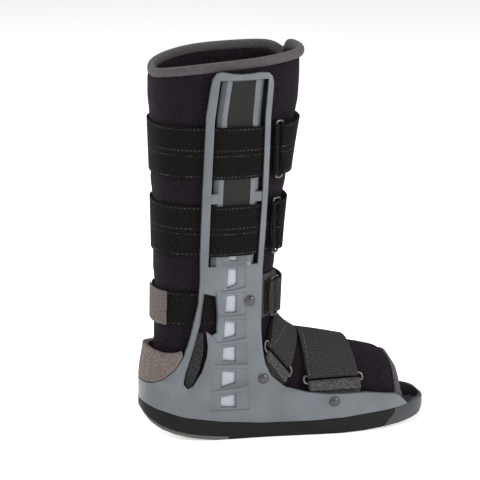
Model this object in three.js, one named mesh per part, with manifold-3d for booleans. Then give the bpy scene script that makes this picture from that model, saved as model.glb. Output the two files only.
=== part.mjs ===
// A tall medical walking boot: a plastic shell with two uprights on a rocker sole,
// a padded liner inside it, and straps that close through wire rings.
// X runs to the toe, -Y is the side that carries the rings (called right), Z is up, in millimetres.

import * as THREE from 'three';
import { mergeVertices } from 'three/addons/utils/BufferGeometryUtils.js';
import Module from 'manifold-3d';

const wasm = await Module();
wasm.setup();

// Overall sizes
const bootLength = 322;
const bootHeight = 425;
const soleWidth = 108;
const legDepth = 168;
const legWidth = 120;

// Liner
const linerWall = 8;
const linerSole = 6;
const flapStep = 3.2;
const bindingHeight = 8;
const bindingProud = 0.6;

// Shell
const shellWall = 4.2;
const shellFloor = 3;
const shellStand = 4;
const footRoom = 8;
const heelLean = 6;
const rearRailWidth = 8.5;
const frontRailWidth = 6;
const slotWidth = 3.8;
const beamBevel = 4.8;
const beamStand = 0.8;
const beamHeight = 4.4;
const lugHeight = 2.2;
const stripThickness = 0.9;
const stripMargin = 5;
const windowFlare = 3.6;
const windowStripWidth = 19;
const windowStripThickness = 1.2;
const stripRoom = 0.4;

// Cuff, sole and rivets
const cuffThickness = 2.5;
const treadThickness = 4.2;
const treadLean = 0.3;
const treadTaper = 0.7;
const bumperWall = 4;
const bumperFloor = 4;
const rivetHead = 12.5;
const rivetDome = 2.6;
const rivetShaft = 5;
const rivetSides = 8;

// Straps, pads and rings
const webbing = 2.2;
const padThickness = 2;
const calfStrapWidth = 56;
const heelStrapWidth = 38;
const tabThickness = 1.4;
const ankleStrapWidth = 38;
const instepStrapWidth = 34;
const forefootStrapWidth = 56;
const wireRadius = 1.6;
const ringEnd = 3.5;
const footRingEnd = 4.8;

// Clearances
const gap = 0.3;
const foldGap = 0.55;
const clothGap = 0.6;

// Outline of the foot from above: share of the length from the heel, share of the half width
const PLAN = [
  { along: 0, half: 0 },
  { along: 0.006, half: 0.2 },
  { along: 0.02, half: 0.38 },
  { along: 0.05, half: 0.565 },
  { along: 0.1, half: 0.71 },
  { along: 0.17, half: 0.8 },
  { along: 0.27, half: 0.845 },
  { along: 0.4, half: 0.87 },
  { along: 0.55, half: 0.94 },
  { along: 0.68, half: 1 },
  { along: 0.78, half: 0.985 },
  { along: 0.87, half: 0.87 },
  { along: 0.93, half: 0.7 },
  { along: 0.97, half: 0.5 },
  { along: 0.99, half: 0.29 },
  { along: 1, half: 0 },
];

// Leg of the liner: centre as a share of the boot length behind the origin,
// depth and width as shares of the leg's depth and width at the top
const LEG = [
  { rise: 0, centre: -0.248, depth: 0.786, width: 0.59 },
  { rise: 0.14, centre: -0.248, depth: 0.786, width: 0.6 },
  { rise: 0.235, centre: -0.245, depth: 0.774, width: 0.62 },
  { rise: 0.353, centre: -0.242, depth: 0.762, width: 0.683 },
  { rise: 0.47, centre: -0.236, depth: 0.786, width: 0.755 },
  { rise: 0.61, centre: -0.227, depth: 0.827, width: 0.847 },
  { rise: 0.776, centre: -0.211, depth: 0.911, width: 0.93 },
  { rise: 0.94, centre: -0.199, depth: 0.976, width: 0.98 },
  { rise: 1.01, centre: -0.193, depth: 1, width: 1 },
];

// Foot of the liner: height of its top, share of its half width
const FOOT = [
  { along: 0.16, top: 0.34, width: 0.9 },
  { along: 0.26, top: 0.35, width: 1 },
  { along: 0.36, top: 0.345, width: 1 },
  { along: 0.43, top: 0.308, width: 1 },
  { along: 0.5, top: 0.264, width: 1 },
  { along: 0.56, top: 0.24, width: 1 },
  { along: 0.63, top: 0.23, width: 1 },
  { along: 0.71, top: 0.214, width: 1 },
  { along: 0.78, top: 0.202, width: 1 },
  { along: 0.83, top: 0.193, width: 1 },
  { along: 0.865, top: 0.177, width: 0.97 },
  { along: 0.89, top: 0.148, width: 0.93 },
  { along: 0.907, top: 0.1, width: 0.86 },
];

// Height of the liner's rim, by the angle round the leg from the front past the right side
const RIM = [
  { angle: 0, rise: 1.003 },
  { angle: 45, rise: 1.001 },
  { angle: 90, rise: 0.988 },
  { angle: 140, rise: 0.97 },
  { angle: 180, rise: 0.957 },
  { angle: 225, rise: 0.972 },
  { angle: 270, rise: 0.99 },
  { angle: 310, rise: 0.995 },
  { angle: 334, rise: 0.98 },
];
const flapEdge = 335;
const flapRun = 70;

// Lines of the shell from the side, from heel to toe and up: share of length, share of height
const SHELL_BOTTOM = [
  [-0.03, 0.104], [0, 0.096], [0.039, 0.084], [0.133, 0.063], [0.264, 0.048], [0.4, 0.039],
  [0.561, 0.038], [0.675, 0.042], [0.76, 0.048], [0.872, 0.053], [0.917, 0.055],
];
const SHELL_FRONT = [
  [0.887, 0.079], [0.866, 0.09], [0.759, 0.104], [0.628, 0.106], [0.553, 0.114], [0.478, 0.131],
  [0.429, 0.162], [0.41, 0.193], [0.402, 0.233], [0.398, 0.279], [0.397, 0.367], [0.398, 0.448],
];
const UPRIGHT_FRONT = [
  [0.398, 0.448], [0.405, 0.553], [0.41, 0.658], [0.414, 0.845], [0.421, 0.914],
];
const UPRIGHT_TOP = [
  [0.422, 0.934], [0.417, 0.949], [0.407, 0.957], [0.379, 0.9595], [0.345, 0.957], [0.316, 0.956],
  [0.29, 0.9575], [0.268, 0.961], [0.247, 0.9635], [0.232, 0.96], [0.22, 0.948], [0.212, 0.921],
];
const UPRIGHT_REAR = [
  [0.212, 0.921], [0.199, 0.853], [0.19, 0.693], [0.185, 0.564], [0.183, 0.479],
];
const SHELL_REAR = [
  [0.184, 0.431], [0.179, 0.364], [0.161, 0.297], [0.149, 0.257], [0.132, 0.222], [0.107, 0.191],
  [0.07, 0.163], [0.036, 0.15], [0.016, 0.147], [-0.03, 0.147],
];
const upperSlot = { low: 0.654, high: 0.943 };
const lowerSlot = { low: 0.464, high: 0.629 };
const stripRun = { low: 0.53, high: 0.938 };
const stripBehind = { low: 0.075, high: 0.515 };

// Windows of the ladder, corner heights as shares of the boot height
const WINDOWS = [
  { topBack: 0.51, topFront: 0.51, lowBack: 0.478, lowFront: 0.475 },
  { topBack: 0.456, topFront: 0.453, lowBack: 0.405, lowFront: 0.414 },
  { topBack: 0.383, topFront: 0.384, lowBack: 0.339, lowFront: 0.338 },
  { topBack: 0.316, topFront: 0.309, lowBack: 0.268, lowFront: 0.276 },
  { topBack: 0.243, topFront: 0.246, lowBack: 0.211, lowFront: 0.206 },
  { topBack: 0.183, topFront: 0.177, lowBack: 0.139, lowFront: 0.15 },
  { topBack: 0.112, topFront: 0.118, lowBack: 0.087, lowFront: 0.084 },
];
const windowBack = { low: [0.256, 0.08], high: [0.281, 0.5] };
const windowFront = { low: [0.307, 0.08], high: [0.309, 0.5] };
const recessBack = { low: [0.222, 0.08], high: [0.27, 0.5] };
const recessFront = { low: [0.35, 0.08], high: [0.333, 0.5] };
const recessRise = 0.007;

// Rear window and the sloping dish round it
const REAR_WINDOW = [
  { hole: [0.199, 0.391], dish: [0.192, 0.397] },
  { hole: [0.237, 0.384], dish: [0.238, 0.402] },
  { hole: [0.243, 0.33], dish: [0.248, 0.335] },
  { hole: [0.241, 0.285], dish: [0.25, 0.29] },
  { hole: [0.227, 0.279], dish: [0.249, 0.262] },
  { hole: [0.208, 0.29], dish: [0.247, 0.245] },
  { hole: [0.214, 0.25], dish: [0.245, 0.225] },
  { hole: [0.212, 0.223], dish: [0.238, 0.198] },
  { hole: [0.195, 0.182], dish: [0.222, 0.158] },
  { hole: [0.164, 0.143], dish: [0.195, 0.125] },
  { hole: [0.145, 0.136], dish: [0.145, 0.11] },
  { hole: [0.132, 0.15], dish: [0.108, 0.122] },
  { hole: [0.138, 0.177], dish: [0.115, 0.168] },
  { hole: [0.165, 0.244], dish: [0.152, 0.24] },
  { hole: [0.187, 0.311], dish: [0.179, 0.311] },
];
const dishDepth = 3;
const windowFlareDepth = 2.5;
const flareUpwards = 0.6;
const recessDepth = 1.3;
const recessSlope = 1.6;

// Centres of the rivets on each side
const RIVETS = [
  [0.354, 0.368], [0.402, 0.157], [0.646, 0.087],
];

// Sole from the side
const SOLE_BOTTOM = [
  [0, 0.075], [0.01, 0.061], [0.028, 0.045], [0.062, 0.029], [0.102, 0.018], [0.152, 0.009],
  [0.196, 0.0035], [0.236, 0], [0.662, 0], [0.745, 0.0025], [0.832, 0.0075], [0.904, 0.0115],
  [0.96, 0.017], [0.985, 0.026], [1, 0.043],
];
const treadEnd = 0.282;
const treadStations = 7;
const shellNose = 0.917;
const bumperSeam = { low: [0.817, 0.005], high: [0.862, 0.038] };
const bumperRim = [
  [1.02, 0.045], [0.985, 0.06], [0.95, 0.061], [0.917, 0.055],
];

// Heel cuff and ankle pads from the side
const CUFF_TOP = [
  [-0.03, 0.252], [0.014, 0.245], [0.035, 0.236], [0.07, 0.229], [0.107, 0.231], [0.13, 0.238],
];
const cuffBottom = 0.118;
const ANKLE_PAD = [
  [0.138, 0.15], [0.142, 0.185], [0.158, 0.25], [0.176, 0.285], [0.2, 0.285], [0.201, 0.235],
  [0.187, 0.185], [0.166, 0.145], [0.155, 0.122], [0.145, 0.12],
];

const halfLength = bootLength / 2;
const beamTop = beamStand + beamHeight;
const upright = shellStand + shellWall;
const blendLow = 0.118 * bootHeight;
const blendHigh = 0.33 * bootHeight;
const legPower = 2.5;
const legClamp = 0.8;

// Finishes
function finish(color, roughness, metalness = 0) {
  return new THREE.MeshStandardMaterial({ color, roughness, metalness });
}

const plastic = finish(0x76808a, 0.5);
const stripPale = finish(0xc4c6cc, 0.4, 0.3);
const stripDark = finish(0x3b3b3a, 0.7);
const rubberDark = finish(0x2e2b29, 0.8);
const rubberGrey = finish(0x696460, 0.8);
const rubberSlate = finish(0x4b5158, 0.7);
const cuffTaupe = finish(0x6a5f5b, 0.85);
const clothBlack = finish(0x1e1a20, 0.95);
const bindingGrey = finish(0x6f696d, 0.85);
const strapBlack = finish(0x181817, 0.95);
const strapCharcoal = finish(0x3a3a3a, 0.9);
const padGrey = finish(0x4a4a49, 0.95);
const tabGrey = finish(0x6f6764, 0.85);
const tabPale = finish(0xb9bbc0, 0.6);
const wireGrey = finish(0x8a8882, 0.35, 0.8);
const wireBlack = finish(0x161616, 0.4, 0.3);
const rivetGrey = finish(0x77757a, 0.35, 0.6);

const boot = new THREE.Group();

// Places and curves
const clamp = (value, low, high) => Math.min(high, Math.max(low, value));
const ease = (value) => clamp(value, 0, 1) ** 2 * (3 - 2 * clamp(value, 0, 1));
const mix = (from, to, share) => from + (to - from) * share;
const atX = (along) => (along - 0.5) * bootLength;
const atZ = (rise) => rise * bootHeight;
const place = ([along, rise]) => [atX(along), atZ(rise)];

// A smooth value between the rows of a table, which never overshoots its rows
function between(rows, across, column, at) {
  const last = rows.length - 1;
  const where = clamp(at, rows[0][across], rows[last][across]);
  let row = 0;
  while (row < last - 1 && where > rows[row + 1][across]) row += 1;
  const slope = (index) =>
    (rows[index + 1][column] - rows[index][column]) / (rows[index + 1][across] - rows[index][across]);
  const tangent = (index) => {
    if (index === 0) return slope(0);
    if (index === last) return slope(last - 1);
    const before = slope(index - 1);
    const after = slope(index);
    return before * after <= 0 ? 0 : (2 * before * after) / (before + after);
  };
  const span = rows[row + 1][across] - rows[row][across];
  const share = (where - rows[row][across]) / span;
  const squared = share ** 2;
  const cubed = share ** 3;
  return (2 * cubed - 3 * squared + 1) * rows[row][column]
    + (cubed - 2 * squared + share) * span * tangent(row)
    + (3 * squared - 2 * cubed) * rows[row + 1][column]
    + (cubed - squared) * span * tangent(row + 1);
}

// Straight interpolation along a side line: the first coordinate for a given second, or the reverse
function alongLine(line, from, to, at) {
  const points = line.map(place);
  const rising = points[points.length - 1][from] > points[0][from];
  const ordered = rising ? points : [...points].reverse();
  const last = ordered.length - 1;
  let index = 0;
  while (index < last - 1 && at > ordered[index + 1][from]) index += 1;
  const share = (at - ordered[index][from]) / (ordered[index + 1][from] - ordered[index][from]);
  return mix(ordered[index][to], ordered[index + 1][to], share);
}

const shellBottomAt = (x) => alongLine(SHELL_BOTTOM, 0, 1, x);
const soleBottomAt = (x) => alongLine(SOLE_BOTTOM, 0, 1, x);
const uprightFrontAt = (z) => alongLine(UPRIGHT_FRONT, 1, 0, z);
const uprightRearAt = (z) => alongLine(UPRIGHT_REAR, 1, 0, z);

// Solids
function geometryOf(points, faces) {
  const geometry = new THREE.BufferGeometry();
  geometry.setAttribute('position', new THREE.Float32BufferAttribute(points.flat(), 3));
  geometry.setIndex(faces.flat());
  return geometry;
}

const areaOf = (points) => points.reduce((sum, point, index) => {
  const next = points[(index + 1) % points.length];
  return sum + point.x * next.y - next.x * point.y;
}, 0);

// Splits a flat or nearly flat end ring into triangles that turn the way the ring does
function capFaces(ring) {
  const normal = new THREE.Vector3();
  ring.forEach((point, index) => {
    const next = ring[(index + 1) % ring.length];
    normal.x += (point[1] - next[1]) * (point[2] + next[2]);
    normal.y += (point[2] - next[2]) * (point[0] + next[0]);
    normal.z += (point[0] - next[0]) * (point[1] + next[1]);
  });
  const sizes = [Math.abs(normal.x), Math.abs(normal.y), Math.abs(normal.z)];
  const drop = sizes.indexOf(Math.max(...sizes));
  const [u, v] = [0, 1, 2].filter((axis) => axis !== drop);
  const flat = ring.map((point) => new THREE.Vector2(point[u], point[v]));
  const faces = THREE.ShapeUtils.triangulateShape(flat, []);
  const covered = faces.reduce((sum, face) => sum + areaOf(face.map((index) => flat[index])), 0);
  return covered * areaOf(flat) < 0 ? faces.map(([a, b, c]) => [a, c, b]) : faces;
}

// Joins rings of points into a closed body; the last ring meets the first when it goes round
function loft(rings, goesRound = false) {
  const count = rings[0].length;
  const points = rings.flat();
  const faces = [];
  const steps = goesRound ? rings.length : rings.length - 1;
  for (let step = 0; step < steps; step += 1) {
    const here = step * count;
    const there = ((step + 1) % rings.length) * count;
    for (let index = 0; index < count; index += 1) {
      const next = (index + 1) % count;
      faces.push([here + index, here + next, there + next]);
      faces.push([here + index, there + next, there + index]);
    }
  }
  if (!goesRound) {
    const end = (rings.length - 1) * count;
    capFaces(rings[0]).forEach(([a, b, c]) => faces.push([a, c, b]));
    capFaces(rings[rings.length - 1]).forEach(([a, b, c]) => faces.push([end + a, end + b, end + c]));
  }
  let volume = 0;
  faces.forEach(([a, b, c]) => {
    const [p, q, r] = [points[a], points[b], points[c]];
    volume += p[0] * (q[1] * r[2] - q[2] * r[1]) - p[1] * (q[0] * r[2] - q[2] * r[0])
      + p[2] * (q[0] * r[1] - q[1] * r[0]);
  });
  return geometryOf(points, volume < 0 ? faces.map(([a, b, c]) => [a, c, b]) : faces);
}

function solid(geometry) {
  const bare = geometry.clone();
  bare.deleteAttribute('normal');
  bare.deleteAttribute('uv');
  const merged = mergeVertices(bare, 1e-4);
  return new wasm.Manifold(new wasm.Mesh({
    numProp: 3,
    vertProperties: Float32Array.from(merged.attributes.position.array),
    triVerts: Uint32Array.from(merged.index.array),
  }));
}

// The largest distance by which joining nearly flat facets may move a surface
const facetTolerance = 0.05;

function geometryFrom(body) {
  const { vertProperties, triVerts, numProp } = body.simplify(facetTolerance).getMesh();
  const geometry = new THREE.BufferGeometry();
  const positions = [];
  for (let index = 0; index < vertProperties.length; index += numProp) {
    positions.push(vertProperties[index], vertProperties[index + 1], vertProperties[index + 2]);
  }
  geometry.setAttribute('position', new THREE.Float32BufferAttribute(positions, 3));
  geometry.setIndex(Array.from(triVerts));
  return geometry;
}

function add(name, shape, material) {
  const geometry = shape.isBufferGeometry ? shape : geometryFrom(shape);
  const mesh = new THREE.Mesh(geometry, material);
  mesh.name = name;
  boot.add(mesh);
  return mesh;
}

// A body of the given side outline that runs right across the boot
function across(outline) {
  const reach = legWidth;
  const shape = new THREE.Shape(outline.map(([x, z]) => new THREE.Vector2(x, z)));
  const geometry = new THREE.ExtrudeGeometry(shape, { depth: 2 * reach, bevelEnabled: false });
  geometry.rotateX(Math.PI / 2);
  geometry.translate(0, reach, 0);
  return solid(geometry);
}

const mirrored = (rings) => rings.map((ring) => ring.map(([x, y, z]) => [x, -y, z]));

// Surfaces of the boot
function legSection(z) {
  const rise = z / bootHeight;
  return {
    centre: between(LEG, 'rise', 'centre', rise) * bootLength,
    depth: (between(LEG, 'rise', 'depth', rise) * legDepth) / 2,
    width: (between(LEG, 'rise', 'width', rise) * legWidth) / 2,
  };
}

// Point on the leg of the liner; the angle runs from the front past the right side, stand is outwards
function legPoint(degrees, z, stand = 0) {
  const { centre, depth, width } = legSection(z);
  const angle = THREE.MathUtils.degToRad(degrees);
  const cos = Math.cos(angle);
  const sin = Math.sin(angle);
  const x = depth * Math.sign(cos) * Math.abs(cos) ** (2 / legPower);
  const y = -width * Math.sign(sin) * Math.abs(sin) ** (2 / legPower);
  const nx = (Math.sign(x) * Math.abs(x / depth) ** (legPower - 1)) / depth;
  const ny = (Math.sign(y) * Math.abs(y / width) ** (legPower - 1)) / width;
  const length = Math.hypot(nx, ny);
  return [centre + x + (nx / length) * stand, y + (ny / length) * stand, z];
}

// Half width at a place on the leg's side, with a stand measured square to the leg
function legSide(x, z, stand = 0) {
  const { centre, depth, width } = legSection(z);
  const share = Math.min(Math.abs((x - centre) / depth), legClamp);
  const inner = 1 - share ** legPower;
  const slope = (width / depth) * share ** (legPower - 1) * inner ** (1 / legPower - 1);
  return width * inner ** (1 / legPower) + stand * Math.hypot(1, slope);
}

// Angle round the leg of a place on its right side
function angleAt(x, z) {
  const { centre, depth } = legSection(z);
  const share = clamp((x - centre) / depth, -1, 1);
  return THREE.MathUtils.radToDeg(Math.acos(Math.sign(share) * Math.abs(share) ** (legPower / 2)));
}

const planHalf = (x) => (between(PLAN, 'along', 'half', x / bootLength + 0.5) * soleWidth) / 2;

// Half width of the shell: the foot's outline below, the leg's side above
function shellHalf(x, z) {
  const high = ease((z - blendLow) / (blendHigh - blendLow));
  const behind = ease((x / bootLength + 0.43) / 0.1);
  const ahead = 1 - ease((x / bootLength + 0.02) / 0.12);
  const padRoom = legSide(x, z, shellWall + clothGap + padThickness + gap) * behind * ahead;
  return mix(Math.max(planHalf(x), padRoom), legSide(x, z, upright), high * behind * ahead);
}

const STATIONS = [
  0.006, 0.02, 0.05, 0.1, 0.14, 0.18, 0.22, 0.26, 0.3, 0.34, 0.375, 0.4, 0.44, 0.52, 0.6, 0.68,
  0.76, 0.83, 0.88, 0.93, 0.97, 0.99,
];
const LEVELS = [
  -0.05, 0.12, 0.155, 0.19, 0.225, 0.26, 0.295, 0.34, 0.41, 0.49, 0.58, 0.67, 0.76, 0.85, 1.02,
];

// Moves each point of a closed flat ring inwards
function inset(ring, distance) {
  return ring.map((point, index) => {
    const before = ring[(index + ring.length - 1) % ring.length];
    const after = ring[(index + 1) % ring.length];
    const first = new THREE.Vector2(point[0] - before[0], point[1] - before[1]).normalize();
    const second = new THREE.Vector2(after[0] - point[0], after[1] - point[1]).normalize();
    const normal = new THREE.Vector2(-first.y - second.y, first.x + second.x).normalize();
    const bend = Math.max(0.5, normal.dot(new THREE.Vector2(-first.y, first.x)));
    return [
      point[0] + (normal.x * distance) / bend,
      point[1] + (normal.y * distance) / bend,
      point[2],
    ];
  });
}

// The whole form of the shell as a body, its surface moved inwards by the given depth
function shellForm(depth) {
  const rings = LEVELS.map((rise) => {
    const z = atZ(rise);
    const lean = heelLean * ease((rise - 0.155) / 0.1);
    const leaned = (along) => atX(along) + lean * clamp(1 - along / 0.2, 0, 1);
    const right = STATIONS.map((along) => [leaned(along), -shellHalf(atX(along), z), z]);
    const left = [...right].reverse().map(([x, y]) => [x, -y, z]);
    return inset([[leaned(0), 0, z], ...right, [leaned(1), 0, z], ...left], depth);
  });
  return solid(loft(rings));
}

// A point on the right side of the shell, at a depth under its surface
const onShell = ([x, z], depth) => [x, -shellHalf(x, z) + depth, z];

// A cutter that narrows from one outline on the shell's surface to a smaller one below it
function flaredCut(outer, inner, depth) {
  const beyond = outer.map(([x, z], index) => [2 * x - inner[index][0], 2 * z - inner[index][1]]);
  const rings = [
    beyond.map((point) => onShell(point, -depth)),
    inner.map((point) => onShell(point, depth)),
    inner.map((point) => onShell(point, 3 * shellWall)),
  ];
  return solid(loft(rings)).add(solid(loft(mirrored(rings))));
}

// The same, closed at its floor instead of running through
function shallowCut(outer, inner, depth) {
  const beyond = outer.map(([x, z], index) => [2 * x - inner[index][0], 2 * z - inner[index][1]]);
  const rings = [
    beyond.map((point) => onShell(point, -depth)),
    inner.map((point) => onShell(point, depth)),
  ];
  return solid(loft(rings)).add(solid(loft(mirrored(rings))));
}

const skin = shellForm(0);
const cavity = shellForm(shellWall);

// Side outlines
const shellOutline = [
  ...SHELL_BOTTOM, ...SHELL_FRONT, ...UPRIGHT_FRONT.slice(1), ...UPRIGHT_TOP,
  ...UPRIGHT_REAR.slice(1), ...SHELL_REAR,
].map(place);

const raised = (line, height) => line.map(place).map(([x, z]) => [x, z + height]);
const sky = atZ(1.2);

// Everything over a line that runs from heel to toe
const over = (line) => across([...line, [line[line.length - 1][0], sky], [line[0][0], sky]]);
const floorLine = (height) => {
  const line = raised(SHELL_BOTTOM, height);
  return [...line, [halfLength + bumperWall, line[line.length - 1][1]]];
};

// Shell: tray, heel wall and uprights in one moulding
function beamSection(z) {
  const rear = uprightRearAt(z) + rearRailWidth + slotWidth;
  const front = uprightFrontAt(z) - frontRailWidth - slotWidth;
  return { rear, front, topRear: rear + beamBevel, topFront: front - beamBevel };
}

// Below the straps the beam rises to the level of the shell's plate, and its groove runs out
const beamFoot = 0.455;
const beamRamp = 0.486;
const grooveStart = 0.505;
const beamHead = 0.952;
const stripLevels = [0.58, 0.67, 0.76, 0.85];

function beam() {
  const levels = [
    beamFoot, lowerSlot.low, (lowerSlot.low + beamRamp) / 2, beamRamp, grooveStart, stripRun.low,
    ...stripLevels, beamHead,
  ];
  const rings = levels.map((rise) => {
    const z = atZ(rise);
    const { rear, front, topRear, topFront } = beamSection(z);
    const groove = [topRear + stripMargin, topFront - stripMargin];
    const at = (x, stand) => [x, -legSide(x, z) - stand, z];
    const top = mix(upright, beamTop, ease((rise - lowerSlot.low) / (beamRamp - lowerSlot.low)));
    const bed = top - (rise > grooveStart ? stripThickness + gap : stripThickness / 10);
    return [
      at(rear, beamStand),
      at(topRear, top),
      at(groove[0], top),
      at(groove[0], bed),
      at((rear + front) / 2, bed),
      at(groove[1], bed),
      at(groove[1], top),
      at(topFront, top),
      at(front, beamStand),
      at((rear + front) / 2, beamStand),
    ];
  });
  return solid(loft(rings)).add(solid(loft(mirrored(rings))));
}

// The bars that tie a rail to the beam between the upper and the lower slots
function lug(fromRail, toBeam) {
  const rings = [lowerSlot.high, upperSlot.low].map((rise) => {
    const z = atZ(rise);
    const [rail, foot] = [fromRail(z), toBeam(beamSection(z))];
    const at = (x, stand) => [x, -legSide(x, z) - stand, z];
    return [
      at(rail, beamTop + lugHeight), at(foot, beamTop), at(foot, beamStand + gap), at(rail, beamStand + gap),
    ];
  });
  return solid(loft(rings)).add(solid(loft(mirrored(rings))));
}

// Outline between two side lines at a window's heights, higher and lower by the given rise
function windowOutline({ topBack, topFront, lowBack, lowFront }, [back, front], more = 0) {
  const corner = ({ low, high }, rise) => [
    atX(mix(low[0], high[0], (rise - low[1]) / (high[1] - low[1]))), atZ(rise),
  ];
  return [
    corner(back, topBack + more), corner(front, topFront + more),
    corner(front, lowFront - more), corner(back, lowBack - more),
  ];
}

// Each corner moved away from the middle, the full distance along the boot and less upwards
function flared(outline, distance) {
  const middle = (axis) => outline.reduce((sum, point) => sum + point[axis], 0) / outline.length;
  const [midX, midZ] = [middle(0), middle(1)];
  return outline.map(([x, z]) => [
    x + Math.sign(x - midX) * distance,
    z + Math.sign(z - midZ) * distance * flareUpwards,
  ]);
}

function rivetAxis([along, rise]) {
  const [x, z] = place([along, rise]);
  const reach = rivetHead / 2;
  const y = Math.max(...[[0, 0], [reach, 0], [-reach, 0], [0, reach], [0, -reach]]
    .map(([right, up]) => shellHalf(x + right, z + up)));
  return { x, z, y };
}

function disc(radius, x, z) {
  const hole = new THREE.CylinderGeometry(radius, radius, 2 * legWidth, 10);
  hole.translate(x, 0, z);
  return solid(hole);
}

// Pale strips behind the windows; grown by a margin, the same form is the room cut for them
function windowStrip(margin) {
  const [low, high] = [stripBehind.low - margin / bootHeight, stripBehind.high + margin / bootHeight];
  const middle = (rise) => mix(
    (windowBack.low[0] + windowFront.low[0]) / 2,
    (windowBack.high[0] + windowFront.high[0]) / 2,
    (rise - windowBack.low[1]) / (windowBack.high[1] - windowBack.low[1]),
  );
  const half = windowStripWidth / 2 + margin;
  const corner = (rise, way) => [atX(middle(rise)) + way * half, atZ(rise)];
  const outline = [corner(low, -1), corner(low, 1), corner(high, 1), corner(high, -1)];
  const outside = shellForm(shellWall + gap - margin);
  const inside = shellForm(shellWall + gap + windowStripThickness + margin);
  return outside.subtract(inside).intersect(across(outline));
}

function shell() {
  let body = skin.subtract(cavity.intersect(over(floorLine(shellFloor)))).intersect(across(shellOutline));
  const heights = [lowerSlot.low, 0.5535, 0.606, 0.658, 0.7315, 0.7885, 0.845, 0.9, upperSlot.high].map(atZ);
  const open = [
    ...heights.map((z) => [uprightRearAt(z) + rearRailWidth, z]),
    ...[...heights].reverse().map((z) => [uprightFrontAt(z) - frontRailWidth, z]),
  ];
  body = body.subtract(across(open)).add(beam());
  body = body.add(lug((z) => uprightRearAt(z) + rearRailWidth - 1, (section) => section.topRear));
  body = body.add(lug((z) => uprightFrontAt(z) - frontRailWidth + 1, (section) => section.topFront));
  body = body.subtract(windowStrip(stripRoom));
  WINDOWS.forEach((row) => {
    const outline = windowOutline(row, [windowBack, windowFront]);
    body = body.subtract(flaredCut(flared(outline, windowFlare), outline, windowFlareDepth));
    const recess = windowOutline(row, [recessBack, recessFront], recessRise);
    body = body.subtract(shallowCut(flared(recess, recessSlope), recess, recessDepth));
  });
  const hole = REAR_WINDOW.map((row) => place(row.hole));
  const dish = REAR_WINDOW.map((row) => place(row.dish));
  body = body.subtract(flaredCut(dish, hole, dishDepth));
  RIVETS.forEach((centre) => {
    const { x, z } = rivetAxis(centre);
    body = body.subtract(disc(rivetShaft / 2 + gap, x, z));
  });
  return body;
}

add('shell', shell(), plastic);

const rightSide = solid(new THREE.BoxGeometry(2 * bootLength, legWidth, 3 * bootHeight)
  .translate(0, -legWidth / 2, 0));

function addSides(name, pair, material) {
  add(`${name}_right`, pair.intersect(rightSide), material);
  add(`${name}_left`, pair.subtract(rightSide), material);
}

addSides('window_strip', windowStrip(0), stripPale);

function beamStrip(side) {
  const levels = [stripRun.low, ...stripLevels, stripRun.high];
  return loft(levels.map((rise) => {
    const z = atZ(rise);
    const { topRear, topFront } = beamSection(z);
    const low = beamTop - stripThickness;
    const at = (x, stand) => [x, -side * (legSide(x, z) + stand), z];
    const [rear, front] = [topRear + stripMargin + gap, topFront - stripMargin - gap];
    const middle = (rear + front) / 2;
    return [
      at(rear, low), at(rear, beamTop), at(middle, beamTop),
      at(front, beamTop), at(front, low), at(middle, low),
    ];
  }));
}

add('beam_strip_right', beamStrip(1), stripDark);
add('beam_strip_left', beamStrip(-1), stripDark);

// Sole
const soleForm = shellForm(-gap);
const soleLine = SOLE_BOTTOM.map(place);
const soleEnd = [[halfLength + bumperWall, atZ(0.07)], [-halfLength - bumperWall, atZ(0.14)]];
const seam = [place(bumperSeam.low), place(bumperSeam.high)];

function soleBody() {
  return soleForm.intersect(across([
    ...soleLine, [halfLength + bumperWall, atZ(0.043)], ...soleEnd, [-halfLength - bumperWall, atZ(0.075)],
  ]));
}

const underShell = across([
  ...raised(SHELL_BOTTOM, -gap), [atX(shellNose), atZ(-0.2)], [-halfLength - 20, atZ(-0.2)],
]);
const forwardOfSeam = across([
  [seam[0][0] - 40, atZ(-0.1)], [seam[0][0] - 4, atZ(-0.01)], ...seam, [seam[1][0] + 4, atZ(0.1)],
  [seam[1][0] + 4, atZ(0.4)], [2 * halfLength, atZ(0.4)], [2 * halfLength, atZ(-0.1)],
]);

// Side outline of the heel tread; with a margin, that of the room cut for it in the midsole
function treadOutline(margin) {
  const top = SOLE_BOTTOM.slice(0, treadStations).map(place)
    .map(([x, z]) => [x - treadThickness * treadLean, z + treadThickness + margin]);
  const end = atX(treadEnd) + margin;
  return across([
    ...top, [end, treadThickness * treadTaper + margin], [end, atZ(-0.1)],
    [-2 * halfLength, atZ(-0.1)], [-2 * halfLength, atZ(0.09)],
  ]);
}

const seamRoom = forwardOfSeam.add(forwardOfSeam.translate(-gap, 0, 0));
const sole = soleBody();
const bumperTop = across([
  ...bumperRim.map(place), [atX(0.78), atZ(0.0495)], [atX(0.78), atZ(-0.2)], [2 * halfLength, atZ(-0.2)],
]);
const bayStart = atX(shellNose) + gap;
const bayFloor = [
  [bayStart, soleBottomAt(bayStart)], ...soleLine.filter(([x]) => x > bayStart),
].map(([x, z]) => [x, z + bumperFloor]);
const bumperBay = shellForm(bumperWall).intersect(across([
  ...bayFloor, [2 * halfLength, sky], [bayStart, sky],
]));

add('midsole', sole.intersect(underShell).subtract(treadOutline(gap)).subtract(seamRoom), rubberDark);
add('heel_tread', sole.intersect(treadOutline(0)), rubberGrey);
const noseRoom = across([
  ...raised(SHELL_BOTTOM, -gap), [atX(shellNose) + gap, atZ(0.055)],
  [atX(shellNose) + gap, sky], [-halfLength - 20, sky],
]);
const bumper = sole.intersect(forwardOfSeam).intersect(bumperTop).subtract(noseRoom).subtract(bumperBay);
add('toe_bumper', bumper, rubberSlate);

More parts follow.
